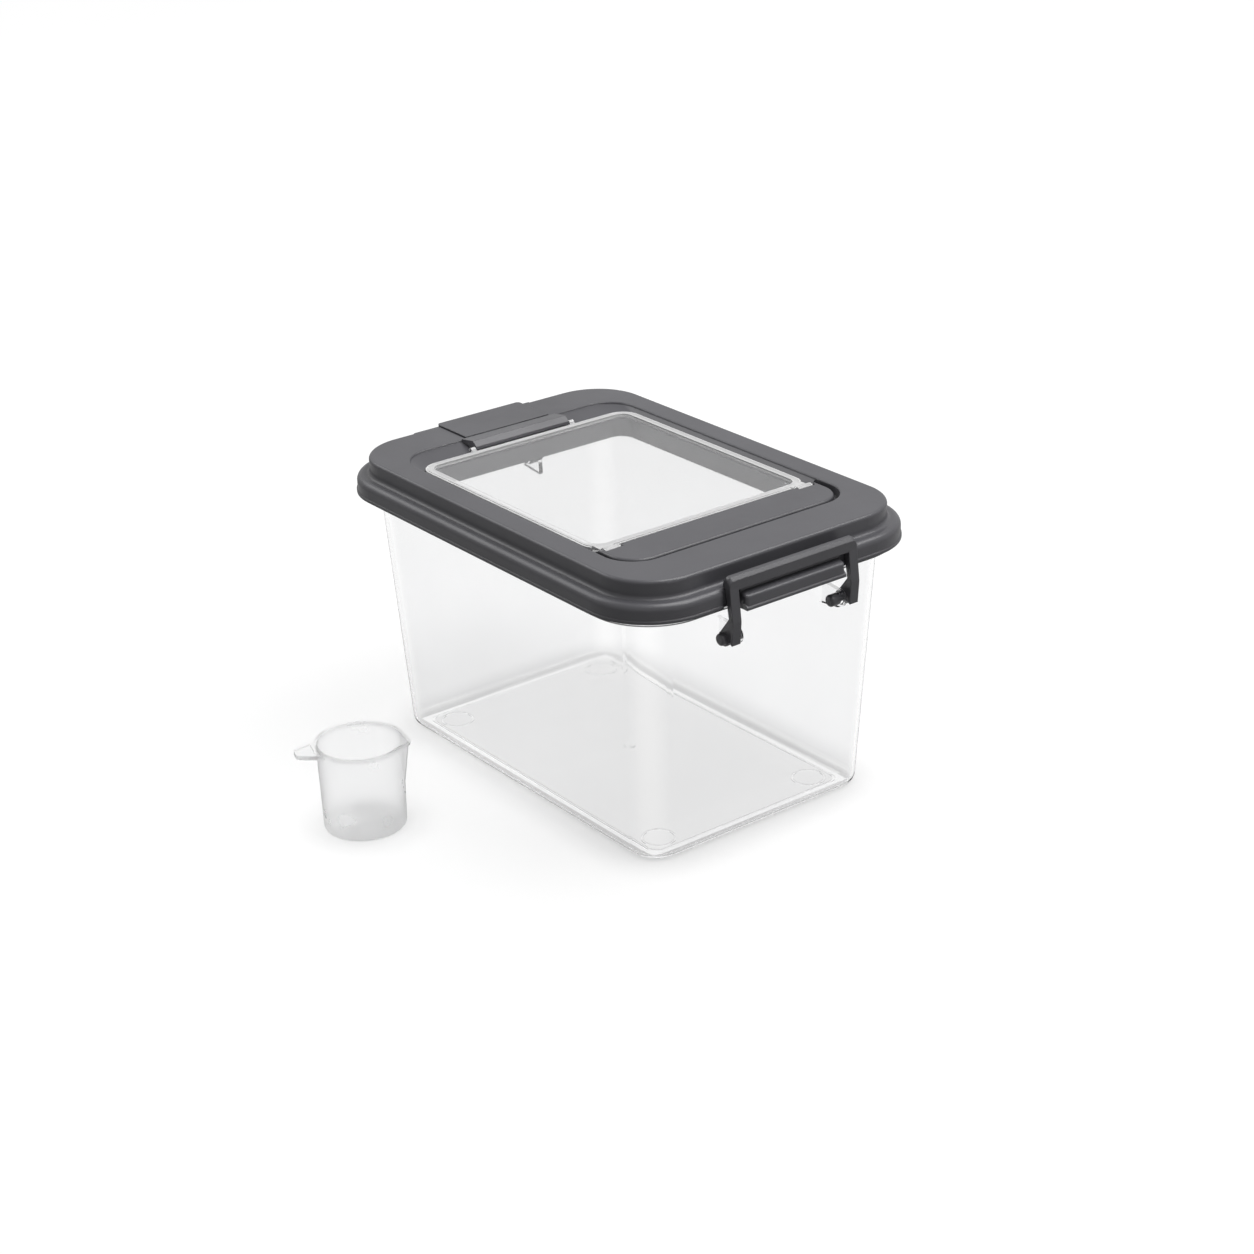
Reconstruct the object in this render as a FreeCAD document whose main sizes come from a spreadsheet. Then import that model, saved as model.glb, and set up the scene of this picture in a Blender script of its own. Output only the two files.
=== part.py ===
import FreeCAD
import Part
import Sketcher
import math
import os
import re

# Rice storage container: clear tub, latched lid with a hinged window, and a measuring cup.
# Millimetres. +X runs to the front latch, +Y across the short way, +Z up.
# The origin is the centre of the tub's base, on the surface that it stands on.

# Driving sizes, in millimetres and degrees
SIZES = {
    # tub
    "tub_length": 341, "tub_width": 227, "tub_height": 206, "tub_corner": 24,
    "end_draft": 11.5, "side_draft": 10.5, "base_round": 8,
    "tub_wall": 2.3, "rim_thick": 3, "rim_drop": 12, "rim_wall": 2,
    "line_inset": 15, "line_corner": 8, "line_width": 1.6, "line_depth": 0.8,
    "foot_radius": 13, "foot_inset": 2, "gate_radius": 3, "gate_height": 0.6,
    # lid
    "lid_reach": 19.5, "lid_corner": 52, "lid_wall": 2.5, "rim_gap": 2.5,
    "skirt_overlap": 8, "shoulder_round": 5, "lip_height": 2.2, "lip_out": 0.7, "lip_round": 0.6,
    "step_inset": 10, "step_height": 13.5, "step_round": 2.5, "step_cove": 3, "shelf_inset": 20.5,
    "seal_height": 3, "seal_gap": 0.2, "seal_inset": 14, "seal_width": 5,
    # recess, window pocket and opening of the lid
    "recess_end_inset": 38, "recess_side_inset": 20, "recess_corner": 26, "recess_step": 1.5,
    "recess_round": 1.2, "cove_drop": 4, "ledge_drop": 2, "tray_thick": 2.5,
    "collar_depth": 14.5, "collar_wall": 2.5,
    "pocket_back_inset": 20.5, "panel_reach": 42.5, "pocket_side_inset": 4, "pocket_corner": 16,
    "opening_back_inset": 7, "opening_front_inset": 12.5, "opening_side_inset": 8, "opening_corner": 12,
    # window and its seal
    "window_gap": 2, "window_thick": 2.5, "border_width": 5, "border_height": 1.2,
    "flap_seal_height": 1.1, "flap_seal_gap": 0.2, "flap_seal_width": 4,
    "flap_lip_out": 1.4, "flap_lip_height": 3.2,
    # hinge of the window
    "hinge_reach": 4, "hinge_rise": 3.7, "knuckle_radius": 3.4, "knuckle_width": 13,
    "knuckle_inset": 11, "knuckle_gap": 1, "stub_radius": 2, "stub_length": 3, "run_gap": 0.05,
    "socket_room": 0.3, "slot_width": 3, "panel_gap": 0.5, "panel_sink": 0.7, "groove_width": 4.2,
    "panel_bevel": 4.5, "panel_bevel_drop": 2.5, "panel_round": 2, "notch_room": 1.3,
    "panel_wall": 2.5, "hollow_reach": 8.5, "hollow_inset": 16,
    # clip of the window
    "clip_half": 39, "clip_thick": 2.7, "rest_gap": 0.3, "clip_lip": 7.5, "clip_lip_gap": 0.5,
    "bay_depth": 2, "bay_gap": 1, "bay_reach": 7,
    "clip_lip_wall": 2.7, "clip_end_round": 3, "clip_axis_reach": 2, "clip_axis_rise": 4.9,
    "clip_pin_radius": 1.25, "bar_half": 44, "bar_back": 18, "bar_back_rise": 0.9, "bar_back_wall": 1.6,
    "bar_ridge_back": 3.2, "bar_ridge_high": 5.8, "bar_eave": 1.3,
    "bar_eave_high": 2.2, "bar_nose": 1.9, "bar_under": 1.8, "crease_width": 1.6,
    "crease_wall": 1.3, "crease_lap": 3, "ear_gap": 0.5, "ear_width": 4, "ear_radius": 2.1,
    # latches
    "latch_half": 57.5, "arm_width": 7.6, "tongue_gap": 4.9, "notch_gap": 2.5, "notch_depth": 1.3,
    "pin_inset": 3, "pin_drop": 24, "pin_radius": 4.4, "pin_head": 4, "pin_length": 12,
    "short_pin_length": 5, "pin_tip_round": 1.4, "boss_radius": 5.6, "latch_gap": 0.3,
    "latch_in": 3.2, "latch_out": 4.2, "latch_hook": 1.8, "latch_tall": 8, "latch_bevel": 2.4,
    "latch_back_bevel": 1.6,
    "arm_thick": 4.4, "arm_root_thick": 5.2, "arm_lean": 2.8, "knee_rise": 13.5, "knee_slope": 2.5,
    "foot_out": 8.5, "foot_low": 3.2, "foot_in": 3.4, "foot_high": 4.4, "latch_end_round": 3.5,
    "tongue_out": 6.5, "tongue_low": 4, "tongue_face": 6,
    "tongue_round": 2, "tongue_end_round": 3, "tongue_bead": 0.8, "tongue_bead_height": 1.8,
    "lug_radius": 6.6, "lug_width": 3.6, "lug_gap": 0.8, "lug_fall": 2,
    # measuring cup
    "cup_x": -31.6, "cup_away": 86.2, "cup_turn": 72, "spout_turn": -24, "cup_height": 67, "cup_rim": 31.8,
    "cup_base": 30.2, "cup_wall": 1.5, "cup_floor": 2, "cup_round": 2.5, "bead_out": 0.9,
    "bead_height": 2.2, "spout_reach": 4.2, "spout_round": 5, "spout_depth": 45, "spout_sink": 1,
    "handle_drop": 0.5, "handle_thick": 3.4, "handle_root": 13, "handle_reach": 16,
    "handle_tip": 5.5, "handle_round": 3.5, "handle_dish": 1.2, "handle_border": 1.8,
    # every cut
    "overrun": 1,
}

# Levels and outlines that follow from the sizes
PLACES = {
    "base_length": "tub_length - 2 * end_draft",
    "base_width": "tub_width - 2 * side_draft",
    "lid_length": "tub_length + 2 * lid_reach",
    "lid_width": "tub_width + 2 * lid_reach",
    "rim_inset": "lid_wall + rim_gap",
    "flange_under": "tub_height + seal_height",
    "flange_top": "flange_under + lid_wall",
    "shoulder_low": "flange_top - shoulder_round",
    "lid_top": "flange_top + step_height",
    "lid_bottom": "tub_height - skirt_overlap",
    "pin_z": "lid_bottom - pin_drop",
    "pin_share": "pin_z / tub_height",
    "lug_root": "(base_length + (tub_length - base_length) * pin_share - tub_wall) / 2",
    "recess_level": "lid_top - recess_step",
    "cove_level": "recess_level - cove_drop",
    "ledge_level": "cove_level - ledge_drop",
    "tray_under": "ledge_level - tray_thick",
    "collar_bottom": "ledge_level - collar_depth",
    "lid_end": "lid_length / 2",
    "step_end": "lid_end - step_inset",
    "recess_length": "lid_length - 2 * step_inset - 2 * recess_end_inset",
    "recess_width": "lid_width - 2 * step_inset - 2 * recess_side_inset",
    "recess_end": "recess_length / 2",
    "pocket_back": "recess_end - pocket_back_inset",
    "pocket_front": "recess_end - panel_reach",
    "pocket_half": "recess_width / 2 - pocket_side_inset",
    "opening_back": "pocket_back - opening_back_inset",
    "opening_front": "pocket_front - opening_front_inset",
    "opening_half": "pocket_half - opening_side_inset",
    "window_under": "ledge_level + flap_seal_height + flap_seal_gap",
    "window_top": "window_under + window_thick",
    "border_top": "window_top + border_height",
    "window_back": "pocket_back - window_gap",
    "window_front": "pocket_front - window_gap",
    "window_half": "pocket_half - window_gap",
    "window_corner": "pocket_corner - window_gap",
    "hinge_x": "pocket_front + hinge_reach",
    "hinge_z": "ledge_level + hinge_rise",
    "knuckle_place": "pocket_half - knuckle_inset",
    "knuckle_low": "knuckle_place - knuckle_width / 2",
    "knuckle_high": "knuckle_place + knuckle_width / 2",
    "socket_low": "knuckle_low - stub_length - socket_room",
    "socket_high": "knuckle_high + stub_length + socket_room",
    "panel_start": "pocket_front + panel_gap",
    "panel_top": "lid_top - panel_sink",
    "panel_end": "recess_end - groove_width",
    "panel_half": "recess_width / 2 - groove_width",
    "hollow_start": "hinge_x + hollow_reach",
    "hollow_half": "knuckle_place - hollow_inset",
    "clip_axis_x": "pocket_back + clip_axis_reach",
    "clip_axis_z": "ledge_level + clip_axis_rise",
    "bay_level": "lid_top - bay_depth",
    "clip_under": "bay_level + rest_gap",
    "clip_top": "clip_under + clip_thick",
    "clip_inner": "step_end + clip_lip_gap",
    "clip_outer": "clip_inner + clip_lip_wall",
    "bar_back_x": "clip_axis_x + bar_back",
    "plate_edge": "bar_back_x + crease_width",
    "ear_low": "bar_half + ear_gap",
    "ear_high": "ear_low + ear_width",
    "pin_x": "lid_end - pin_inset",
    "latch_in_x": "lid_end - latch_in",
    "latch_out_x": "lid_end + latch_out",
    "latch_low_z": "flange_top + latch_gap",
    "latch_high_z": "latch_low_z + latch_tall",
    "knee_x": "latch_out_x + arm_lean",
    "knee_z": "pin_z + knee_rise",
    "arm_low": "latch_half - arm_width",
    "tongue_half": "arm_low - tongue_gap",
    "tongue_bottom": "lid_bottom - tongue_low",
    "tongue_top": "lid_bottom + tongue_face",
    "tongue_x": "lid_end + tongue_out",
    "lug_place": "arm_low - lug_gap",
    "cup_y": "-(lid_width / 2 + cup_away)",
    "spout_tip": "cup_rim + spout_reach",
    "spout_centre": "spout_tip - spout_round",
    "spout_share": "(cup_rim - spout_round) / spout_centre",
    "spout_root": "cup_rim * spout_share",
    "spout_half": "cup_rim * sqrt(1 - spout_share ^ 2)",
    "spout_low": "cup_height - spout_depth",
    "spout_low_radius": "cup_base + (cup_rim - cup_base) * spout_low / cup_height - spout_sink",
    "spout_low_share": "spout_low_radius / spout_tip",
    "bead_share": "(cup_rim + bead_out) / cup_rim",
    "inner_share": "(cup_rim - cup_wall) / cup_rim",
    "cup_inner_base": "cup_base + (cup_rim - cup_base) * cup_floor / cup_height - cup_wall",
    "handle_top": "cup_height - handle_drop",
    "handle_end": "cup_rim + handle_reach",
}

# How near two numbers count as equal, when edges are picked by their place
NEAR_SHARE = 1e-5

# Turns, in degrees
quarter_turn = 90
half_turn = 180


def on_sheet(formula):
    """The formula with each size's name pointed at the sheet."""
    return re.sub(r"\b(?!sqrt\b)[a-z][a-z_]*", lambda word: "Sizes." + word.group(0), formula)


def make_sheet(document):
    """The spreadsheet: the sizes, then the places that follow from them."""
    made = document.addObject("Spreadsheet::Sheet", "Sizes")
    rows = [(name, str(size)) for name, size in SIZES.items()]
    rows += [(name, "=" + formula) for name, formula in PLACES.items()]
    for row, (name, text) in enumerate(rows, start=1):
        made.set("A%d" % row, name)
        made.set("B%d" % row, text)
        made.setAlias("B%d" % row, name)
    document.recompute()
    return made


doc = FreeCAD.newDocument("RiceContainer")
sheet = make_sheet(doc)
reading = doc.addObject("Spreadsheet::Sheet", "Reading")


def value(formula):
    """The number that a formula of sizes gives, read through a sheet that nothing hangs on."""
    reading.set("A1", "=" + on_sheet(formula))
    reading.recompute()
    return float(reading.get("A1"))


def minus(formula):
    """The formula's opposite."""
    return "-(%s)" % formula


def signed(sign, formula):
    """The formula, or its opposite where the sign is negative."""
    return formula if sign > 0 else minus(formula)


def span(sign, low, high):
    """A stretch along an axis, or its mirror image where the sign is negative."""
    return (low, high) if sign > 0 else (minus(high), minus(low))


def new_body(label):
    """An empty body whose label names its file."""
    body = doc.addObject("PartDesign::Body", label)
    body.Label = label
    return body


def new_sketch(body, name, level="0", role="XY_Plane", turn=None):
    """A sketch on one of the body's origin planes, lifted along the plane's normal."""
    sketch = body.newObject("Sketcher::SketchObject", name)
    plane = [part for part in body.Origin.OriginFeatures if part.Role == role][0]
    sketch.AttachmentSupport = [(plane, "")]
    sketch.MapMode = "FlatFace"
    sketch.setExpression("AttachmentOffset.Base.z", on_sheet(level))
    if turn:
        sketch.setExpression("AttachmentOffset.Rotation.Angle", on_sheet(turn))
    return sketch


def fix(sketch, kind, places, formula):
    """A dimension of a sketch, bound to a formula."""
    index = sketch.addConstraint(Sketcher.Constraint(kind, *places, value(formula)))
    sketch.setExpression("Constraints[%d]" % index, on_sheet(formula))


def pin_point(sketch, geometry, end, across, up):
    """Ties one point of a sketch to the origin in both directions."""
    for kind, formula, axis in (("DistanceX", across, -2), ("DistanceY", up, -1)):
        if formula == "0":
            sketch.addConstraint(Sketcher.Constraint("PointOnObject", geometry, end, axis))
        else:
            fix(sketch, kind, (-1, 1, geometry, end), formula)


def vector(across, up):
    """A sketch point at two formulas."""
    return FreeCAD.Vector(value(across), value(up), 0)


def polygon(sketch, points):
    """A closed outline of straight lines through points given as formulas."""
    first = sketch.GeometryCount
    spots = [vector(*point) for point in points]
    ends = spots[1:] + spots[:1]
    for start, end in zip(spots, ends):
        sketch.addGeometry(Part.LineSegment(start, end), False)
    for number, point in enumerate(points):
        following = first + (number + 1) % len(points)
        sketch.addConstraint(Sketcher.Constraint("Coincident", first + number, 2, following, 1))
        pin_point(sketch, first + number, 1, *point)


def rectangle(sketch, left, right, low, high):
    """A closed rectangle."""
    polygon(sketch, [(left, low), (right, low), (right, high), (left, high)])


def circle(sketch, across, up, radius):
    """A circle."""
    ring = Part.Circle(vector(across, up), FreeCAD.Vector(0, 0, 1), value(radius))
    index = sketch.addGeometry(ring, False)
    fix(sketch, "Radius", (index,), radius)
    pin_point(sketch, index, 3, across, up)


def rounded(sketch, left, right, half, corner):
    """A rectangle, symmetric across X, with four round corners."""
    first = sketch.GeometryCount
    x_low, x_high, y_high, radius = (value(size) for size in (left, right, half, corner))
    x_low += radius
    x_high -= radius
    y_high -= radius
    centres = ((x_high, -y_high), (x_high, y_high), (x_low, y_high), (x_low, -y_high))
    arcs = []
    for quarter, centre in enumerate(centres, start=-1):
        ring = Part.Circle(FreeCAD.Vector(*centre, 0), FreeCAD.Vector(0, 0, 1), radius)
        arcs.append(Part.ArcOfCircle(ring, quarter * math.pi / 2, (quarter + 1) * math.pi / 2))
    for arc, following in zip(arcs, arcs[1:] + arcs[:1]):
        sketch.addGeometry(arc, False)
        sketch.addGeometry(Part.LineSegment(arc.EndPoint, following.StartPoint), False)
    for arc in range(first, first + 8, 2):
        following = first + (arc - first + 2) % 8
        sketch.addConstraint(Sketcher.Constraint("Tangent", arc, 2, arc + 1, 1))
        sketch.addConstraint(Sketcher.Constraint("Tangent", arc + 1, 2, following, 1))
    for kind, line in (("Vertical", 1), ("Horizontal", 3), ("Vertical", 5), ("Horizontal", 7)):
        sketch.addConstraint(Sketcher.Constraint(kind, first + line))
    for arc in (2, 4, 6):
        sketch.addConstraint(Sketcher.Constraint("Equal", first, first + arc))
    fix(sketch, "Radius", (first,), corner)
    fix(sketch, "DistanceX", (-1, 1, first + 1, 1), right)
    fix(sketch, "DistanceX", (-1, 1, first + 5, 1), left)
    fix(sketch, "DistanceY", (-1, 1, first + 3, 1), half)
    fix(sketch, "DistanceY", (-1, 1, first + 7, 1), minus(half))


def centred(sketch, name, inset="0"):
    """The outline of a named length, width and corner about the origin, drawn in all round."""
    end = "%s_length / 2 - (%s)" % (name, inset)
    half = "%s_width / 2 - (%s)" % (name, inset)
    rounded(sketch, minus(end), end, half, "%s_corner - (%s)" % (name, inset))


def framed(sketch, name, inset="0"):
    """The outline of a named back, front, half width and corner, drawn in all round."""
    back = "%s_back - (%s)" % (name, inset)
    front = "%s_front - (%s)" % (name, inset)
    half = "%s_half - (%s)" % (name, inset)
    rounded(sketch, minus(back), front, half, "%s_corner - (%s)" % (name, inset))


def finish(feature):
    """Builds a feature and stops at once if it failed."""
    doc.recompute()
    bad = {"Invalid", "Error"} & set(feature.State)
    if bad or feature.Shape.isNull() or not feature.Shape.isValid():
        raise ValueError("%s failed: %s" % (feature.Name, feature.State))
    return feature


def finish_cut(feature, before):
    """Builds a cut and stops if it took nothing away."""
    finish(feature)
    if not feature.Shape.Volume < before:
        raise ValueError("%s cut nothing" % feature.Name)
    return feature


def pad(body, name, sketch, length):
    """Material from a sketch along its normal."""
    feature = body.newObject("PartDesign::Pad", name)
    feature.Profile = sketch
    feature.setExpression("Length", on_sheet(length))
    return finish(feature)


def pocket(body, name, sketch, length):
    """A cut from a sketch against its normal."""
    before = body.Tip.Shape.Volume
    feature = body.newObject("PartDesign::Pocket", name)
    feature.Profile = sketch
    feature.setExpression("Length", on_sheet(length))
    return finish_cut(feature, before)


def loft(body, kind, name, low, high):
    """A straight-sided loft between two sketches, added or cut."""
    before = body.Tip.Shape.Volume if body.Tip else 0
    feature = body.newObject("PartDesign::" + kind, name)
    feature.Profile = low
    feature.Sections = [high]
    feature.Ruled = True
    return finish_cut(feature, before) if kind == "SubtractiveLoft" else finish(feature)


def turned(body, kind, name, sketch):
    """A full turn of a sketch about Z, added or cut."""
    before = body.Tip.Shape.Volume if body.Tip else 0
    feature = body.newObject("PartDesign::" + kind, name)
    feature.Profile = sketch
    feature.ReferenceAxis = (sketch, ["V_Axis"])
    return finish_cut(feature, before) if kind == "Groove" else finish(feature)


def across(body, name, low, high, draw):
    """Material between two places along Y, from an outline drawn in X and Z."""
    sketch = new_sketch(body, name + "Outline", minus(high), "XZ_Plane")
    draw(sketch)
    return pad(body, name, sketch, "(%s) - (%s)" % (high, low))


def cut_across(body, name, low, high, draw):
    """A cut between two places along Y, from an outline drawn in X and Z."""
    sketch = new_sketch(body, name + "Outline", minus(low), "XZ_Plane")
    draw(sketch)
    return pocket(body, name, sketch, "(%s) - (%s)" % (high, low))


def upright(body, name, low, high, draw):
    """Material between two levels, from an outline drawn in X and Y."""
    sketch = new_sketch(body, name + "Outline", low)
    draw(sketch)
    return pad(body, name, sketch, "(%s) - (%s)" % (high, low))


def cut_upright(body, name, low, high, draw):
    """A cut between two levels, from an outline drawn in X and Y."""
    sketch = new_sketch(body, name + "Outline", high)
    draw(sketch)
    return pocket(body, name, sketch, "(%s) - (%s)" % (high, low))


def fillet(body, name, radius, test):
    """Rounds the edges of the body's last feature whose bounding box passes a test."""
    base = body.Tip
    numbered = enumerate(base.Shape.Edges, start=1)
    edges = ["Edge%d" % number for number, edge in numbered if test(edge.BoundBox)]
    if not edges:
        raise ValueError("%s found no edges" % name)
    feature = body.newObject("PartDesign::Fillet", name)
    feature.Base = (base, edges)
    feature.setExpression("Radius", on_sheet(radius))
    return finish(feature)


def same(number, formula):
    """Whether a measured number lies at a formula's place."""
    return abs(number - value(formula)) < NEAR_SHARE * value("lid_length")


def at_level(level):
    """A test for edges that lie flat at a level."""
    return lambda box: same(box.ZMin, level) and same(box.ZMax, level)


def make_tub():
    """The clear tub: drafted walls, turned-down rim, floor lines and latch lugs."""
    body = new_body("tub")
    walls = body.newObject("PartDesign::AdditiveWedge", "Walls")
    for axis, name in (("X", "length"), ("Z", "width")):
        for end, place in (("", "base"), ("2", "tub")):
            walls.setExpression(axis + end + "min", on_sheet("-%s_%s / 2" % (place, name)))
            walls.setExpression(axis + end + "max", on_sheet("%s_%s / 2" % (place, name)))
    walls.Ymin = 0
    walls.setExpression("Ymax", on_sheet("tub_height"))
    tilt = FreeCAD.Rotation(FreeCAD.Vector(1, 0, 0), quarter_turn)
    walls.Placement = FreeCAD.Placement(FreeCAD.Vector(), tilt)
    finish(walls)
    fillet(body, "CornerRound", "tub_corner",
           lambda box: same(box.ZMin, "0") and same(box.ZMax, "tub_height"))
    solid = fillet(body, "BaseRound", "base_round", at_level("0"))
    hollow = body.newObject("PartDesign::Thickness", "Hollow")
    is_mouth = at_level("tub_height")
    numbered = enumerate(solid.Shape.Faces, start=1)
    mouth = ["Face%d" % number for number, face in numbered if is_mouth(face.BoundBox)]
    hollow.Base = (solid, mouth)
    hollow.setExpression("Value", on_sheet("tub_wall"))
    finish_cut(hollow, solid.Shape.Volume)
    upright(body, "Gate", "tub_wall", "tub_wall + gate_height",
            lambda sketch: circle(sketch, "0", "0", "gate_radius"))
    tub_rim(body)
    tub_lines(body)
    for sign, side in ((1, "Front"), (-1, "Back")):
        tub_lug(body, side + "RightLug", sign, span(1, "lug_place - lug_width", "lug_place"))
        tub_lug(body, side + "LeftLug", sign, span(-1, "lug_place - lug_width", "lug_place"))
    return body


def tub_rim(body):
    """The flange round the mouth and the lip that turns down from its edge."""
    def flange(sketch):
        centred(sketch, "lid", "rim_inset")
        centred(sketch, "tub", "tub_wall")

    def lip(sketch):
        centred(sketch, "lid", "rim_inset")
        centred(sketch, "lid", "rim_inset + rim_wall")

    upright(body, "Flange", "tub_height - rim_thick", "tub_height", flange)
    upright(body, "RimLip", "tub_height - rim_drop", "tub_height - rim_thick", lip)


def tub_lines(body):
    """The moulded line round the underside, and the ring at each of its corners."""
    def line(sketch):
        for inset in ("line_inset", "line_inset + line_width"):
            end = "base_length / 2 - (%s)" % inset
            half = "base_width / 2 - (%s)" % inset
            rounded(sketch, minus(end), end, half, "line_corner")
        gap = "line_inset + line_width + foot_inset + foot_radius"
        for x_sign in (1, -1):
            for y_sign in (1, -1):
                foot_x = signed(x_sign, "base_length / 2 - (%s)" % gap)
                foot_y = signed(y_sign, "base_width / 2 - (%s)" % gap)
                circle(sketch, foot_x, foot_y, "foot_radius")
                circle(sketch, foot_x, foot_y, "foot_radius - line_width")

    cut_upright(body, "FloorLines", "0", "line_depth", line)


def tub_lug(body, name, sign, reach):
    """One lug with a bore for a latch pin."""
    pin_across = signed(sign, "pin_x")
    root = signed(sign, "lug_root")

    def arm(sketch):
        polygon(sketch, [(root, "pin_z - lug_radius - lug_fall"), (pin_across, "pin_z - lug_radius"),
                         (pin_across, "pin_z + lug_radius"), (root, "pin_z + lug_radius + lug_fall")])

    across(body, name + "Arm", *reach, arm)
    across(body, name, *reach, lambda sketch: circle(sketch, pin_across, "pin_z", "lug_radius"))
    cut_across(body, name + "Bore", *reach,
               lambda sketch: circle(sketch, pin_across, "pin_z", "pin_radius + run_gap"))


def make_lid():
    """The lid: skirt, shoulder, step, recess, opening, and a tongue and notches for each latch."""
    body = new_body("lid")
    upright(body, "Skirt", "lid_bottom", "flange_top", lambda sketch: centred(sketch, "lid"))
    fillet(body, "Shoulder", "shoulder_round", at_level("flange_top"))
    upright(body, "Step", "flange_under", "lid_top", lambda sketch: centred(sketch, "lid", "step_inset"))
    fillet(body, "StepRound", "step_round", at_level("lid_top"))
    fillet(body, "StepCove", "step_cove",
           lambda box: at_level("flange_top")(box) and within(box, "lid", "step_inset"))
    upright(body, "Lip", "lid_bottom", "lid_bottom + lip_height",
            lambda sketch: centred(sketch, "lid", minus("lip_out")))
    fillet(body, "LipRound", "lip_round",
           lambda box: at_level("lid_bottom + lip_height")(box) and lip_edge(box))
    lid_cavities(body)
    lid_recess(body)
    clip_bay(body)
    for sign, side in ((1, "Front"), (-1, "Back")):
        lid_notches(body, side, sign)
        lid_tongue(body, side, sign)
    return body


def lip_edge(box):
    """Whether an edge reaches the outer outline of the lid's lip."""
    reach_x = max(abs(box.XMin), abs(box.XMax))
    reach_y = max(abs(box.YMin), abs(box.YMax))
    return same(reach_x, "lid_end + lip_out") or same(reach_y, "lid_width / 2 + lip_out")


def within(box, name, inset="0"):
    """Whether an edge lies in or on the outline of a named length and width, drawn in all round."""
    slack = NEAR_SHARE * value("lid_length")
    end = value("%s_length / 2 - (%s)" % (name, inset)) + slack
    half = value("%s_width / 2 - (%s)" % (name, inset)) + slack
    inside_x = max(abs(box.XMin), abs(box.XMax)) < end
    return inside_x and max(abs(box.YMin), abs(box.YMax)) < half


def lid_cavities(body):
    """The hollows under the lid: in the skirt, in the step's ring, and round the collar."""
    def ring(sketch):
        centred(sketch, "lid", "step_inset + lid_wall")
        centred(sketch, "recess", minus("lid_wall"))

    def shelf(sketch):
        centred(sketch, "lid", "shelf_inset")
        centred(sketch, "recess", minus("lid_wall"))

    def tray(sketch):
        centred(sketch, "recess", minus("lid_wall"))
        framed(sketch, "opening", minus("collar_wall"))

    def collar(sketch):
        framed(sketch, "opening", minus("collar_wall"))
        framed(sketch, "opening")

    cut_upright(body, "SkirtHollow", "lid_bottom", "flange_under",
                lambda sketch: centred(sketch, "lid", "lid_wall"))
    cut_upright(body, "RingHollow", "flange_top", "lid_top - lid_wall", ring)
    cut_upright(body, "ShelfHole", "flange_under", "flange_top", shelf)
    cut_upright(body, "TrayHollow", "flange_under", "tray_under", tray)
    upright(body, "Collar", "collar_bottom", "tray_under", collar)


def lid_recess(body):
    """The sunk recess, its cove, the window's pocket, the panel's bay and the opening."""
    cut_upright(body, "Recess", "recess_level", "lid_top", lambda sketch: centred(sketch, "recess"))
    fillet(body, "RecessRound", "recess_round",
           lambda box: at_level("lid_top")(box) and within(box, "recess"))
    low = new_sketch(body, "CoveLowOutline", "cove_level")
    framed(low, "pocket")
    high = new_sketch(body, "CoveHighOutline", "recess_level")
    centred(high, "recess")
    loft(body, "SubtractiveLoft", "Cove", low, high)
    cut_upright(body, "WindowPocket", "ledge_level", "cove_level", lambda sketch: framed(sketch, "pocket"))
    cut_upright(body, "Opening", "collar_bottom", "ledge_level", lambda sketch: framed(sketch, "opening"))
    cut_upright(body, "PanelBay", "ledge_level", "recess_level", panel_bay)
    cut_upright(body, "HingeRoom", "ledge_level", "recess_level", hinge_room)


def clip_bay(body):
    """The sunk seat in the step that the clip's plate lies in, on a thicker floor."""
    half = "clip_half + bay_gap"

    def seat(sketch):
        rectangle(sketch, minus("step_end - lid_wall"), minus("recess_end + lid_wall"),
                  minus(half + " + lid_wall"), half + " + lid_wall")

    def bay(sketch):
        rectangle(sketch, minus("step_end + overrun"), minus("recess_end - bay_reach"), minus(half), half)

    upright(body, "ClipSeat", "bay_level - lid_wall", "lid_top - lid_wall", seat)
    cut_upright(body, "ClipBay", "bay_level", "lid_top + overrun", bay)


def hinge_room(sketch):
    """Room for the window's hinge arms, in the pocket's two front corners."""
    for sign in (1, -1):
        sides = span(sign, "knuckle_low - knuckle_gap", "knuckle_high + knuckle_gap")
        rectangle(sketch, "window_front - border_width", "pocket_front + overrun", *sides)


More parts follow.
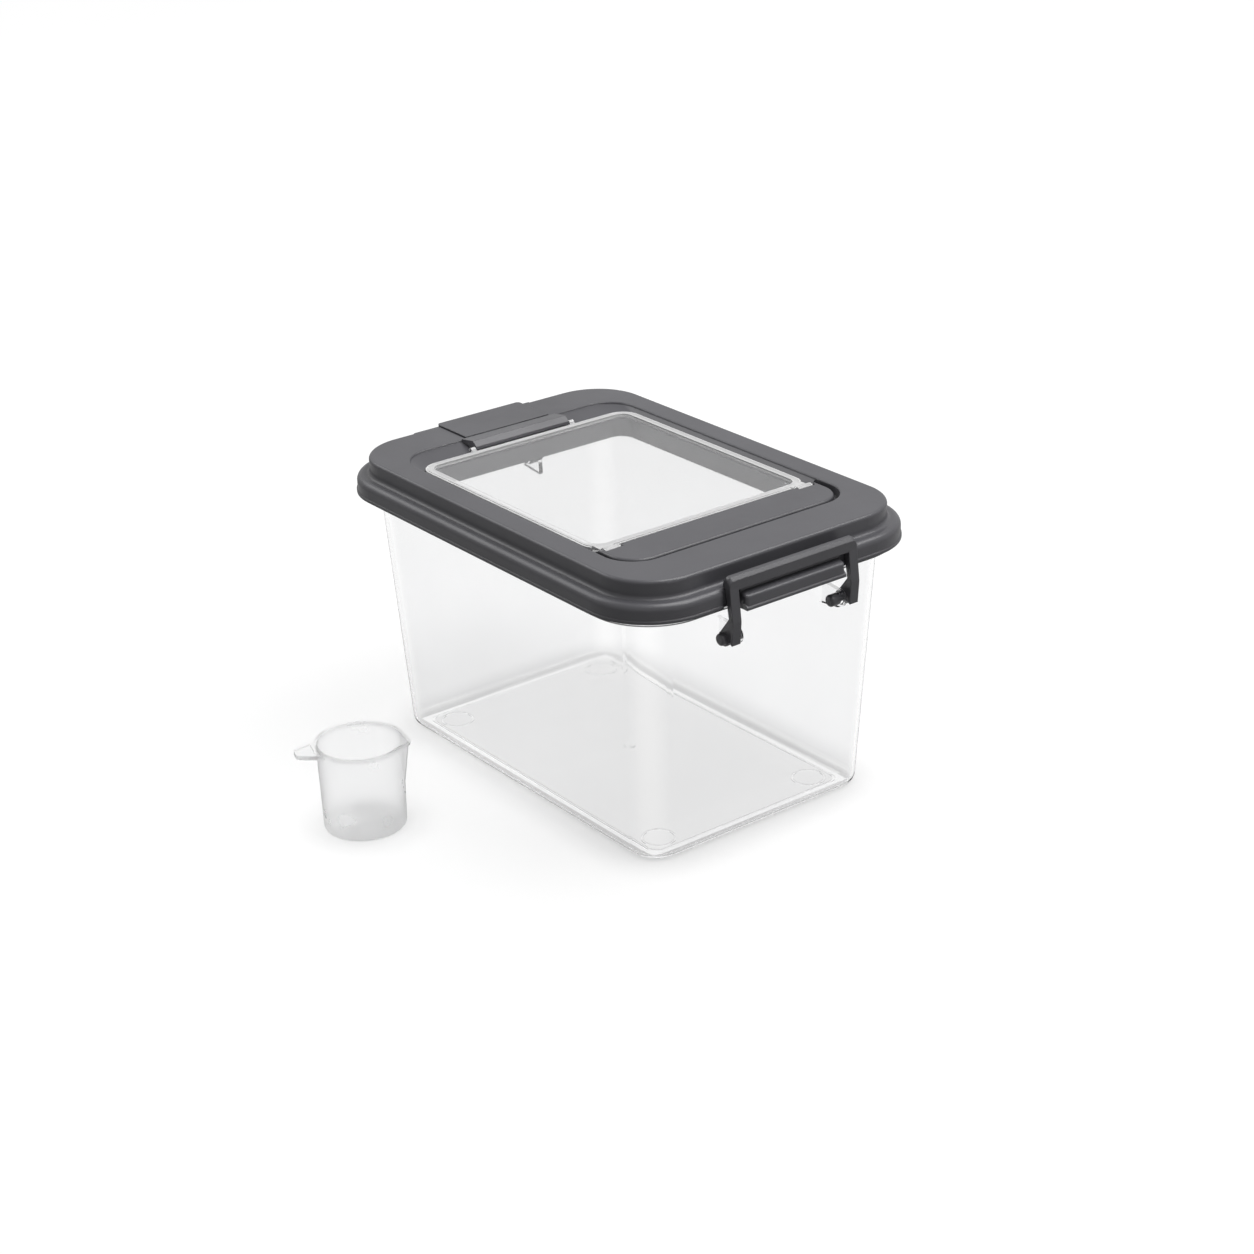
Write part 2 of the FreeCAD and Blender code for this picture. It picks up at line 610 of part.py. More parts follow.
def panel_bay(sketch):
    """The recess outline's front stretch, square towards the window and round at its far corners."""
    first = sketch.GeometryCount
    left = value("pocket_front")
    right = value("recess_end")
    half = value("recess_width / 2")
    radius = value("recess_corner")
    low = Part.Circle(FreeCAD.Vector(right - radius, radius - half, 0), FreeCAD.Vector(0, 0, 1), radius)
    high = Part.Circle(FreeCAD.Vector(right - radius, half - radius, 0), FreeCAD.Vector(0, 0, 1), radius)
    low_arc = Part.ArcOfCircle(low, -math.pi / 2, 0)
    high_arc = Part.ArcOfCircle(high, 0, math.pi / 2)
    low_corner = FreeCAD.Vector(left, -half, 0)
    high_corner = FreeCAD.Vector(left, half, 0)
    for edge in (low_arc, Part.LineSegment(low_arc.EndPoint, high_arc.StartPoint), high_arc,
                 Part.LineSegment(high_arc.EndPoint, high_corner),
                 Part.LineSegment(high_corner, low_corner),
                 Part.LineSegment(low_corner, low_arc.StartPoint)):
        sketch.addGeometry(edge, False)
    for edge, kind in enumerate(("Tangent", "Tangent", "Tangent", "Coincident", "Coincident", "Tangent")):
        following = first + (edge + 1) % 6
        sketch.addConstraint(Sketcher.Constraint(kind, first + edge, 2, following, 1))
    for kind, edge in (("Vertical", 1), ("Horizontal", 3), ("Vertical", 4), ("Horizontal", 5)):
        sketch.addConstraint(Sketcher.Constraint(kind, first + edge))
    sketch.addConstraint(Sketcher.Constraint("Equal", first, first + 2))
    fix(sketch, "Radius", (first,), "recess_corner")
    fix(sketch, "DistanceX", (-1, 1, first + 1, 1), "recess_end")
    fix(sketch, "DistanceX", (-1, 1, first + 4, 1), "pocket_front")
    fix(sketch, "DistanceY", (-1, 1, first + 3, 1), "recess_width / 2")
    fix(sketch, "DistanceY", (-1, 1, first + 5, 1), minus("recess_width / 2"))


def lid_notches(body, side, sign):
    """The two cuts in the skirt that a latch's arms pass through."""
    def notches(sketch):
        ends = span(sign, "lid_end - notch_depth", "lid_end + lip_out + overrun")
        rectangle(sketch, *ends, "tongue_half", "latch_half + notch_gap")
        rectangle(sketch, *ends, minus("latch_half + notch_gap"), minus("tongue_half"))

    cut_upright(body, side + "Notches", "lid_bottom - overrun", "flange_top + overrun", notches)


def lid_tongue(body, side, sign):
    """The thick tongue between a latch's arms, with a bead along its foot."""
    inner = signed(sign, "lid_end - lid_wall")
    face = signed(sign, "tongue_x")
    bead = signed(sign, "tongue_x + tongue_bead")
    skirt = signed(sign, "lid_end")

    def profile(sketch):
        polygon(sketch, [(inner, "tongue_bottom"), (bead, "tongue_bottom"),
                         (bead, "tongue_bottom + tongue_bead_height"),
                         (face, "tongue_bottom + tongue_bead_height + tongue_bead"), (face, "tongue_top"),
                         (skirt, "shoulder_low"), (inner, "shoulder_low")])

    def is_end(box):
        end = signed(box.YMin, "tongue_half")
        on_face = same(box.XMin, face) and same(box.XMax, face) and same(box.ZMax, "tongue_top")
        return on_face and same(box.YMin, end) and same(box.YMax, end)

    def is_front(box):
        return at_level("tongue_top")(box) and same(box.XMax if sign > 0 else box.XMin, face)

    across(body, side + "Tongue", minus("tongue_half"), "tongue_half", profile)
    fillet(body, side + "TongueEnds", "tongue_end_round", is_end)
    fillet(body, side + "TongueRound", "tongue_round", is_front)


def make_hinge_panel():
    """The panel beside the window, with notches and sockets for the hinge."""
    body = new_body("hinge_panel")

    def profile(sketch):
        polygon(sketch, [("panel_start", "ledge_level"), ("panel_end", "ledge_level"),
                         ("panel_end", "panel_top"), ("panel_start + panel_bevel", "panel_top"),
                         ("panel_start", "panel_top - panel_bevel_drop")])

    def is_corner(box):
        upright_edge = same(box.ZMin, "ledge_level") and same(box.ZMax, "panel_top")
        return upright_edge and same(box.XMin, "panel_end")

    across(body, "Block", minus("panel_half"), "panel_half", profile)
    fillet(body, "CornerRound", "recess_corner - groove_width", is_corner)
    fillet(body, "TopRound", "panel_round",
           lambda box: at_level("panel_top")(box) and not same(box.XMax, "panel_start + panel_bevel"))
    reach = "knuckle_radius + notch_room"
    for sign, side in ((1, "Right"), (-1, "Left")):
        notch = span(sign, "knuckle_low - knuckle_gap", "knuckle_high + knuckle_gap")
        socket = span(sign, "socket_low", "socket_high")
        slot = ("hinge_x - slot_width / 2", "hinge_x + slot_width / 2")
        cut_upright(body, side + "Notch", "ledge_level - overrun", "panel_top + overrun",
                    lambda sketch: rectangle(sketch, "panel_start - overrun", "hinge_x + " + reach, *notch))
        cut_across(body, side + "Socket", *socket,
                   lambda sketch: circle(sketch, "hinge_x", "hinge_z", "stub_radius + run_gap"))
        cut_upright(body, side + "Slot", "hinge_z", "panel_top + overrun",
                    lambda sketch: rectangle(sketch, *slot, *socket))
    hollow = ("hollow_start", "panel_end - panel_wall", minus("hollow_half"), "hollow_half")
    cut_upright(body, "Underside", "ledge_level", "panel_top - panel_wall",
                lambda sketch: rectangle(sketch, *hollow))
    return body


def make_ring(label, low, high, draw):
    """A soft ring between two levels."""
    body = new_body(label)
    upright(body, "Ring", low, high, draw)
    return body


def lid_seal_outline(sketch):
    """The ring under the lid's shelf."""
    centred(sketch, "lid", "seal_inset")
    centred(sketch, "lid", "seal_inset + seal_width")


def make_flap_seal():
    """The soft ring under the window's border, with a lip up its edge, open at the hinge and the clip."""
    lip_top = "window_under + flap_lip_height"

    def ring(sketch):
        framed(sketch, "window", minus("flap_lip_out"))
        framed(sketch, "window", "flap_seal_width")

    def lip(sketch):
        framed(sketch, "window", minus("flap_lip_out"))
        framed(sketch, "window")

    def room(sketch):
        clip_side = "ear_high + ear_gap"
        rectangle(sketch, minus("window_back + flap_lip_out + overrun"), minus("window_back - overrun"),
                  minus(clip_side), clip_side)
        for sign in (1, -1):
            sides = span(sign, "knuckle_low - knuckle_gap", "knuckle_high + knuckle_gap")
            rectangle(sketch, "window_front - window_corner",
                      "window_front + flap_lip_out + overrun", *sides)

    body = make_ring("flap_seal", "ledge_level + flap_seal_gap", "window_under", ring)
    upright(body, "Lip", "window_under", lip_top, lip)
    cut_upright(body, "LipRoom", "window_under", lip_top, room)
    return body


def make_flap_window():
    """The clear window: plate, raised border, hinge knuckles with stubs, and ears for the clip."""
    body = new_body("flap_window")

    def border(sketch):
        framed(sketch, "window")
        framed(sketch, "window", "border_width")

    upright(body, "Plate", "window_under", "window_top", lambda sketch: framed(sketch, "window"))
    upright(body, "Border", "window_top", "border_top", border)
    for sign, side in ((1, "Right"), (-1, "Left")):
        knuckle = span(sign, "knuckle_low", "knuckle_high")
        stub = span(sign, "knuckle_low - stub_length", "knuckle_high + stub_length")
        ear = span(sign, "ear_low", "ear_high")
        across(body, side + "KnuckleArm", *knuckle, knuckle_arm)
        across(body, side + "Knuckle", *knuckle,
               lambda sketch: circle(sketch, "hinge_x", "hinge_z", "knuckle_radius"))
        across(body, side + "Stubs", *stub,
               lambda sketch: circle(sketch, "hinge_x", "hinge_z", "stub_radius"))
        across(body, side + "EarArm", *ear, ear_arm)
        across(body, side + "Ear", *ear, lambda sketch: clip_axis_circle(sketch, "ear_radius"))
        cut_across(body, side + "EarBore", *ear,
                   lambda sketch: clip_axis_circle(sketch, "clip_pin_radius + run_gap"))
    return body


def knuckle_arm(sketch):
    """The web between the plate and a knuckle."""
    rectangle(sketch, "window_front - border_width", "hinge_x", "window_under", "border_top")


def ear_arm(sketch):
    """The web between the plate and an ear."""
    rectangle(sketch, minus("clip_axis_x"), minus("window_back - border_width"),
              "clip_axis_z - ear_radius", "border_top")


def clip_axis_circle(sketch, radius):
    """A circle about the clip's axis."""
    circle(sketch, minus("clip_axis_x"), "clip_axis_z", radius)


def make_flap_clip():
    """The snap-over clip: roof-shaped bar, crease, plate and the lip outside the lid's step."""
    body = new_body("flap_clip")

    def bar(sketch):
        polygon(sketch, [(minus("bar_back_x"), "clip_under + bar_back_rise"),
                         (minus("bar_back_x"), "clip_under + bar_back_rise + bar_back_wall"),
                         (minus("clip_axis_x + bar_ridge_back"), "clip_axis_z + bar_ridge_high"),
                         (minus("clip_axis_x - bar_eave"), "clip_axis_z + bar_eave_high"),
                         (minus("clip_axis_x - bar_nose"), "clip_axis_z"),
                         (minus("clip_axis_x"), "clip_axis_z - bar_under")])

    def crease(sketch):
        rectangle(sketch, minus("plate_edge + crease_lap"), minus("bar_back_x - crease_lap"),
                  "clip_under", "clip_under + crease_wall")

    def plate(sketch):
        polygon(sketch, [(minus("clip_outer"), "clip_under - clip_lip"),
                         (minus("clip_inner"), "clip_under - clip_lip"),
                         (minus("clip_inner"), "clip_under"), (minus("plate_edge"), "clip_under"),
                         (minus("plate_edge"), "clip_top"), (minus("clip_outer"), "clip_top")])

    across(body, "Bar", minus("bar_half"), "bar_half", bar)
    across(body, "Crease", minus("clip_half"), "clip_half", crease)
    across(body, "Plate", minus("clip_half"), "clip_half", plate)
    fillet(body, "EndRound", "clip_end_round",
           lambda box: same(box.XMin, minus("clip_outer")) and same(box.XMax, minus("clip_outer"))
           and same(box.ZMin, "clip_under - clip_lip") and same(box.ZMax, "clip_top"))
    cut_across(body, "Bore", minus("bar_half"), "bar_half",
               lambda sketch: clip_axis_circle(sketch, "clip_pin_radius + run_gap"))
    return body


def make_clip_pin():
    """The rod through the clip's bar and the window's ears."""
    body = new_body("clip_pin")
    across(body, "Rod", minus("ear_high"), "ear_high",
           lambda sketch: clip_axis_circle(sketch, "clip_pin_radius"))
    return body


def make_latch(label, turn):
    """A latch: bar over the lid's shoulder, two arms, and the pins that it swings on."""
    body = new_body(label)

    def bar(sketch):
        polygon(sketch, [("latch_in_x", "latch_low_z"), ("latch_out_x", "latch_low_z - latch_hook"),
                         ("latch_out_x", "latch_high_z - latch_bevel"),
                         ("latch_out_x - latch_bevel", "latch_high_z"),
                         ("latch_in_x + latch_back_bevel", "latch_high_z"),
                         ("latch_in_x", "latch_high_z - latch_back_bevel")])

    def arm(sketch):
        polygon(sketch, [("latch_out_x - arm_root_thick", "latch_low_z"), ("latch_out_x", "latch_low_z"),
                         ("knee_x", "knee_z"), ("pin_x + foot_out", "pin_z - foot_low"),
                         ("pin_x - foot_in", "pin_z + foot_high"),
                         ("knee_x - arm_thick", "knee_z + knee_slope")])

    def boss(sketch):
        circle(sketch, "pin_x", "pin_z", "boss_radius")

    def pin(sketch):
        circle(sketch, "pin_x", "pin_z", "pin_radius")

    across(body, "Bar", minus("latch_half"), "latch_half", bar)
    fillet(body, "EndRound", "latch_end_round",
           lambda box: same(box.ZMax, "latch_high_z") and same(box.YMin, signed(box.YMin, "latch_half"))
           and same(box.YMax, signed(box.YMin, "latch_half")))
    for sign, side in ((1, "Right"), (-1, "Left")):
        reach = span(sign, "arm_low", "latch_half")
        across(body, side + "Arm", *reach, arm)
        across(body, side + "Boss", *reach, boss)
    across(body, "RightPin", "arm_low - pin_length", "arm_low", pin)
    pin_tip(body, "RightTip", "arm_low - pin_length")
    across(body, "LeftPin", minus("arm_low"), minus("arm_low - short_pin_length"), pin)
    across(body, "LeftHead", minus("latch_half + pin_head"), minus("latch_half"), pin)
    pin_tip(body, "LeftTip", minus("latch_half + pin_head"))
    body.Placement = FreeCAD.Placement(FreeCAD.Vector(), FreeCAD.Rotation(FreeCAD.Vector(0, 0, 1), turn))
    return body


def pin_tip(body, name, place):
    """Rounds the end of a latch pin."""
    fillet(body, name, "pin_tip_round", lambda box: same(box.YMin, place) and same(box.YMax, place))


def make_measuring_cup():
    """The measuring cup: tapered wall, rim bead, pouring corner and a dished tab handle."""
    body = new_body("measuring_cup")
    wall = new_sketch(body, "WallOutline", role="XZ_Plane")
    polygon(wall, [("0", "0"), ("cup_base", "0"), ("cup_rim", "cup_height"), ("0", "cup_height")])
    turned(body, "Revolution", "Wall", wall)
    fillet(body, "BaseRound", "cup_round", at_level("0"))
    spout(body, "AdditiveLoft", "Spout", "1")
    bead_low = "cup_height - bead_height"
    upright(body, "Bead", bead_low, "cup_height",
            lambda sketch: circle(sketch, "0", "0", "cup_rim + bead_out"))
    corner = new_sketch(body, "CornerBeadOutline", bead_low, turn="spout_turn")
    spout_outline(corner, "bead_share")
    pad(body, "CornerBead", corner, "bead_height")
    cup_handle(body)
    hollow = new_sketch(body, "HollowOutline", role="XZ_Plane")
    polygon(hollow, [("0", "cup_floor"), ("cup_inner_base", "cup_floor"),
                     ("cup_rim - cup_wall", "cup_height"), ("0", "cup_height")])
    turned(body, "Groove", "Hollow", hollow)
    spout(body, "SubtractiveLoft", "SpoutHollow", "inner_share")
    body.setExpression("Placement.Base.x", on_sheet("cup_x"))
    body.setExpression("Placement.Base.y", on_sheet("cup_y"))
    body.setExpression("Placement.Rotation.Angle", on_sheet("cup_turn"))
    return body


def spout_outline(sketch, share):
    """The pouring corner at a share of its size: a round tip, and sides that touch the rim's circle."""
    names = ("root", "half", "centre", "round")
    root, half, centre, radius = ("spout_%s * %s" % (name, share) for name in names)
    low = vector(root, minus(half))
    high = vector(root, half)
    spread = math.acos(value("spout_share"))
    ring = Part.Circle(vector(centre, "0"), FreeCAD.Vector(0, 0, 1), value(radius))
    tip = Part.ArcOfCircle(ring, -spread, spread)
    sketch.addGeometry(Part.LineSegment(low, tip.StartPoint), False)
    sketch.addGeometry(tip, False)
    sketch.addGeometry(Part.LineSegment(tip.EndPoint, high), False)
    sketch.addGeometry(Part.LineSegment(high, low), False)
    for line in (0, 1):
        sketch.addConstraint(Sketcher.Constraint("Tangent", line, 2, line + 1, 1))
    for line, following in ((2, 3), (3, 0)):
        sketch.addConstraint(Sketcher.Constraint("Coincident", line, 2, following, 1))
    pin_point(sketch, 0, 1, root, minus(half))
    pin_point(sketch, 3, 1, root, half)
    pin_point(sketch, 1, 3, centre, "0")
    fix(sketch, "Radius", (1,), radius)


def spout(body, kind, name, share):
    """The pouring corner, fading into the wall below, as material or as a hollow."""
    low = new_sketch(body, name + "LowOutline", "spout_low", turn="spout_turn")
    spout_outline(low, "spout_low_share * " + share)
    high = new_sketch(body, name + "HighOutline", "cup_height", turn="spout_turn")
    spout_outline(high, share)
    loft(body, kind, name, low, high)


def cup_handle(body):
    """The tab handle with a raised border."""
    low = "handle_top - handle_thick"

    def tab(sketch):
        polygon(sketch, [("0", minus("handle_root")), ("0", "handle_root"),
                         (minus("cup_base"), "handle_root"), (minus("handle_end"), "handle_tip"),
                         (minus("handle_end"), minus("handle_tip")),
                         (minus("cup_base"), minus("handle_root"))])

    def dish(sketch):
        root = "handle_root - 2 * handle_border"
        tip = "handle_tip - handle_border"
        polygon(sketch, [(minus("cup_rim + bead_out + handle_border"), minus(root)),
                         (minus("cup_rim + bead_out + handle_border"), root),
                         (minus("handle_end - handle_border"), tip),
                         (minus("handle_end - handle_border"), minus(tip))])

    upright(body, "Handle", low, "handle_top", tab)
    fillet(body, "HandleRound", "handle_round",
           lambda box: same(box.XMin, minus("handle_end")) and same(box.XMax, minus("handle_end"))
           and same(box.ZMin, low) and same(box.ZMax, "handle_top"))
    cut_upright(body, "HandleDish", "handle_top - handle_dish", "handle_top", dish)


def check(bodies):
    """Stops before anything is written if an object failed or a shape is bad."""
    for part in doc.Objects:
        if {"Invalid", "Error"} & set(part.State):
            raise ValueError("%s is in state %s" % (part.Name, part.State))
    for body in bodies:
        if body.Shape.isNull() or not body.Shape.isValid() or len(body.Shape.Solids) != 1:
            raise ValueError("%s is not one valid solid" % body.Label)


made = [
    make_tub(), make_lid(), make_hinge_panel(),
    make_ring("lid_seal", "tub_height + seal_gap", "flange_under", lid_seal_outline),
    make_flap_window(),
    make_flap_seal(), make_flap_clip(), make_clip_pin(),
    make_latch("front_latch", 0), make_latch("back_latch", half_turn), make_measuring_cup(),
]
doc.removeObject(reading.Name)
doc.recompute()
check(made)
os.makedirs("parts", exist_ok=True)
for node in made:
    node.Shape.exportStep("parts/%s.step" % node.Label)
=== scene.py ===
import bpy
import math
from mathutils import Matrix, Vector

# Rice storage container: materials, floor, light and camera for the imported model.
# Metres, in the model's own frame: +X to the front latch, +Z up, the floor at zero.

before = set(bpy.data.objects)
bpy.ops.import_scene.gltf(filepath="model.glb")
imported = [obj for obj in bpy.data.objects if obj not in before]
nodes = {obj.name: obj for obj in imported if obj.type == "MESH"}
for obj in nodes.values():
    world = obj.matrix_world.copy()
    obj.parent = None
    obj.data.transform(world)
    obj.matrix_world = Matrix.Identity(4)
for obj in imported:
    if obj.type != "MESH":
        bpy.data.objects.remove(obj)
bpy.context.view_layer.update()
scene = bpy.context.scene

# Places on the model that the materials follow. The walls lean out, so much for each metre of height.
END_WALL, END_LEAN = 0.159, 0.0558
SIDE_WALL, SIDE_LEAN = 0.103, 0.0510
RIM_OUT, RIM_LOW = 0.0008, 0.1935
# Painted highlights: where the tub's upright corners start to be painted white and where they are fully
# white. Below the floor top the tub's floor is painted white as painted light.
CORNER_START, CORNER_FULL = -0.0200, -0.0100
TUB_FLOOR_TOP = 0.004
BORDER_LOW, BORDER_HIGH = 0.2212, 0.2218
CUP_RIM_LOW, CUP_RIM_HIGH = 0.0630, 0.0645
FOOT_END, FOOT_SIDE = 0.148, 0.092

# The share of light that each clear surface lets through to the floor, as grey.
SHADOW_TINT = (0.78, 0.78, 0.78, 1)
WHITE = (1, 1, 1, 1)

# The floor: its size, how far and how deep the painted contact shadow darkens its glow where things
# stand, and its glow near and far.
FLOOR_SIZE = 14
CONTACT_REACH, CONTACT_DEPTH = 0.03, 0.42
GLOW_NEAR, GLOW_FAR = 0.80, 0.92
GLOW_START, GLOW_END = 0.4, 2.0
FLOOR_MIRRORED = 0.3

# The surroundings: their strength as a light, and the share of white that mirror reflections see.
SKY_LIGHT = 0.22
SKY_MIRRORED = 0.5

# Soft lights: name, place, the point that they face, width, height and watts.
LAMPS = (
    ("left_box", (-1.35, -0.5, 1.45), (0, 0, 0.2), 1.2, 1.2, 8),
    ("back_box", (0.55, 0.65, 2.0), (0, 0, 0.2), 1.6, 1.6, 37),
    ("front_box", (1.5, -1.6, 1.3), (0, 0, 0.15), 0.8, 1.2, 0.5),
)

# The camera: azimuth, height angle and roll in degrees, place in metres, focal length in millimetres.
CAMERA_TURNS = (52.886, 24.102, -1.721)
CAMERA_SPOT = (1.39624, -1.05434, 0.88528)
CAMERA_LENS, CAMERA_SENSOR = 72.876, 36
CAMERA_FAR = 50


def node_setup(name):
    """A new material with its node tree and Principled shader."""
    material = bpy.data.materials.new(name)
    material.use_nodes = True
    tree = material.node_tree
    return material, tree, tree.nodes["Principled BSDF"]


def place(tree):
    """The point of the model that is being shaded, in metres."""
    return tree.nodes.new("ShaderNodeTexCoord").outputs["Object"]


def noise(tree, scale, detail=2.0, rough=0.5):
    """A noise pattern with so many waves to the metre."""
    pattern = tree.nodes.new("ShaderNodeTexNoise")
    pattern.inputs["Scale"].default_value = scale
    pattern.inputs["Detail"].default_value = detail
    pattern.inputs["Roughness"].default_value = rough
    tree.links.new(place(tree), pattern.inputs["Vector"])
    return pattern.outputs["Fac"]


def spread(tree, source, low, high, start=0.3, end=0.7):
    """A pattern's values, spread between two numbers."""
    mapped = tree.nodes.new("ShaderNodeMapRange")
    mapped.inputs["From Min"].default_value = start
    mapped.inputs["From Max"].default_value = end
    mapped.inputs["To Min"].default_value = low
    mapped.inputs["To Max"].default_value = high
    tree.links.new(source, mapped.inputs["Value"])
    return mapped.outputs["Result"]


def maths(tree, operation, *values):
    """The result of one sum on patterns and numbers."""
    node = tree.nodes.new("ShaderNodeMath")
    node.operation = operation
    for socket, value in zip(node.inputs, values):
        if isinstance(value, float):
            socket.default_value = value
        else:
            tree.links.new(value, socket)
    return node.outputs[0]


def tint(tree, source, dark, light):
    """A pattern's values, as a colour between two."""
    ramp = tree.nodes.new("ShaderNodeValToRGB")
    for element, position, colour in zip(ramp.color_ramp.elements, (0.3, 0.7), (dark, light)):
        element.position = position
        element.color = (*colour, 1)
    tree.links.new(source, ramp.inputs["Fac"])
    return ramp.outputs["Color"]


def bump(tree, shader, source, strength, depth, under=None):
    """Small hills in the surface from a pattern, on top of another normal."""
    hills = tree.nodes.new("ShaderNodeBump")
    hills.inputs["Strength"].default_value = strength
    hills.inputs["Distance"].default_value = depth
    tree.links.new(source, hills.inputs["Height"])
    if under:
        tree.links.new(under, hills.inputs["Normal"])
    tree.links.new(hills.outputs["Normal"], shader.inputs["Normal"])


def moulded_plastic(name, dark, light, rough_low, rough_high):
    """Satin moulded plastic: fine spark-eroded grain, faint flow shading and softened edges."""
    material, tree, shader = node_setup(name)
    links = tree.links
    links.new(tint(tree, noise(tree, 14, 3), dark, light), shader.inputs["Base Color"])
    links.new(spread(tree, noise(tree, 60, 4), rough_low, rough_high), shader.inputs["Roughness"])
    soft_edge = tree.nodes.new("ShaderNodeBevel")
    soft_edge.samples = 4
    soft_edge.inputs["Radius"].default_value = 0.001
    bump(tree, shader, noise(tree, 1600, 3, 0.6), 0.12, 0.00012, soft_edge.outputs["Normal"])
    return material


def axes(tree):
    """The distances from the model's two middle planes and the height."""
    split = tree.nodes.new("ShaderNodeSeparateXYZ")
    tree.links.new(place(tree), split.inputs[0])
    across = maths(tree, "ABSOLUTE", split.outputs["X"])
    along = maths(tree, "ABSOLUTE", split.outputs["Y"])
    return across, along, split.outputs["Z"]


def height(tree):
    """The height of the point that is being shaded."""
    return axes(tree)[2]


def beyond_walls(tree):
    """How far a point lies outside the tub's two pairs of leaning walls."""
    across, along, level = axes(tree)
    ends = maths(tree, "MULTIPLY_ADD", level, -END_LEAN, -END_WALL)
    sides = maths(tree, "MULTIPLY_ADD", level, -SIDE_LEAN, -SIDE_WALL)
    return maths(tree, "ADD", across, ends), maths(tree, "ADD", along, sides)


def rim(tree):
    """One on the tub's rim, which stands out from the top of its walls."""
    outside = maths(tree, "GREATER_THAN", maths(tree, "MAXIMUM", *beyond_walls(tree)), RIM_OUT)
    return maths(tree, "MULTIPLY", outside, maths(tree, "GREATER_THAN", height(tree), RIM_LOW))


def painted_light_corners_and_floor(tree):
    """One in the middle of the tub's rounded upright corners and on its floor, where the tub is painted
    white: painted highlights on the corners and painted light on the floor.
    """
    corner = maths(tree, "MINIMUM", *beyond_walls(tree))
    upright = spread(tree, corner, 0, 1, CORNER_START, CORNER_FULL)
    return maths(tree, "MAXIMUM", upright, maths(tree, "LESS_THAN", height(tree), TUB_FLOOR_TOP))


def raised_border(tree):
    """One on the window's raised border and knuckles."""
    return spread(tree, height(tree), 0, 1, BORDER_LOW, BORDER_HIGH)


def cup_rim(tree):
    """One on the cup's rim and handle."""
    return spread(tree, height(tree), 0, 1, CUP_RIM_LOW, CUP_RIM_HIGH)


def clear_plastic(name, dark, light, rough_low, rough_high, bend, haze, clouded, cloud, painted_light=None):
    """Clear moulded plastic: faint ripples, slightly uneven gloss, and light let through to the floor.

    It is hazy, cloudier where one pattern is one, and painted white where another is, as painted light
    that makes that part look brighter.
    """
    material, tree, shader = node_setup(name)
    links = tree.links
    clearness = spread(tree, clouded(tree), 1 - haze, 1 - cloud, 0, 1)
    links.new(clearness, shader.inputs["Transmission Weight"])
    shader.inputs["IOR"].default_value = bend
    shade = tint(tree, noise(tree, 9, 3), dark, light)
    # Painted light: where the given mask is one, the base colour is painted white, so that part looks
    # brighter.
    if painted_light:
        painted_light_mix = tree.nodes.new("ShaderNodeMix")
        painted_light_mix.data_type = "RGBA"
        links.new(painted_light(tree), painted_light_mix.inputs["Factor"])
        links.new(shade, painted_light_mix.inputs["A"])
        painted_light_mix.inputs["B"].default_value = WHITE
        shade = painted_light_mix.outputs["Result"]
    links.new(shade, shader.inputs["Base Color"])
    links.new(spread(tree, noise(tree, 45, 3), rough_low, rough_high), shader.inputs["Roughness"])
    bump(tree, shader, noise(tree, 22, 2), 0.10, 0.0004)
    passing = tree.nodes.new("ShaderNodeBsdfTransparent")
    passing.inputs["Color"].default_value = SHADOW_TINT
    path = tree.nodes.new("ShaderNodeLightPath")
    mixed = tree.nodes.new("ShaderNodeMixShader")
    links.new(path.outputs["Is Shadow Ray"], mixed.inputs["Fac"])
    links.new(shader.outputs["BSDF"], mixed.inputs[1])
    links.new(passing.outputs["BSDF"], mixed.inputs[2])
    links.new(mixed.outputs["Shader"], tree.nodes["Material Output"].inputs["Surface"])
    return material


def soft_rubber(name):
    """Milky silicone: light passes a little way in, with a dull uneven skin."""
    material, tree, shader = node_setup(name)
    links = tree.links
    shader.inputs["Subsurface Weight"].default_value = 0.3
    shader.inputs["Subsurface Radius"].default_value = (0.004, 0.004, 0.004)
    shade = tint(tree, noise(tree, 30, 3), (0.70, 0.70, 0.70), (0.78, 0.78, 0.78))
    links.new(shade, shader.inputs["Base Color"])
    links.new(spread(tree, noise(tree, 80, 3), 0.42, 0.56), shader.inputs["Roughness"])
    bump(tree, shader, noise(tree, 900, 2), 0.1, 0.0001)
    return material


charcoal = moulded_plastic("charcoal_plastic", (0.091, 0.090, 0.099), (0.107, 0.106, 0.117), 0.28, 0.34)
black = moulded_plastic("latch_plastic", (0.082, 0.081, 0.089), (0.097, 0.096, 0.105), 0.28, 0.34)
# The tub's upright corners and floor are painted white, as painted highlights and painted light.
clear = clear_plastic(
    "clear_tub_plastic", (0.925, 0.926, 0.928), (0.945, 0.946, 0.948), 0.04, 0.08,
    bend=1.16, haze=0, clouded=rim, cloud=0.25, painted_light=painted_light_corners_and_floor)
pane = clear_plastic(
    "clear_window_plastic", (0.885, 0.886, 0.888), (0.905, 0.906, 0.908), 0.02, 0.05,
    bend=1.3, haze=0, clouded=raised_border, cloud=0.6)
milky = clear_plastic(
    "clear_cup_plastic", (0.975, 0.976, 0.978), (0.990, 0.991, 0.993), 0.26, 0.34,
    bend=1.16, haze=0.02, clouded=cup_rim, cloud=0.14)
silicone = soft_rubber("seal_silicone")

wears = {
    "tub": clear, "flap_window": pane, "measuring_cup": milky,
    "lid": charcoal, "hinge_panel": charcoal, "flap_clip": charcoal, "clip_pin": charcoal,
    "front_latch": black, "back_latch": black,
    "lid_seal": silicone, "flap_seal": silicone,
}
for name, material in wears.items():
    for slot in nodes[name].material_slots:
        slot.material = material


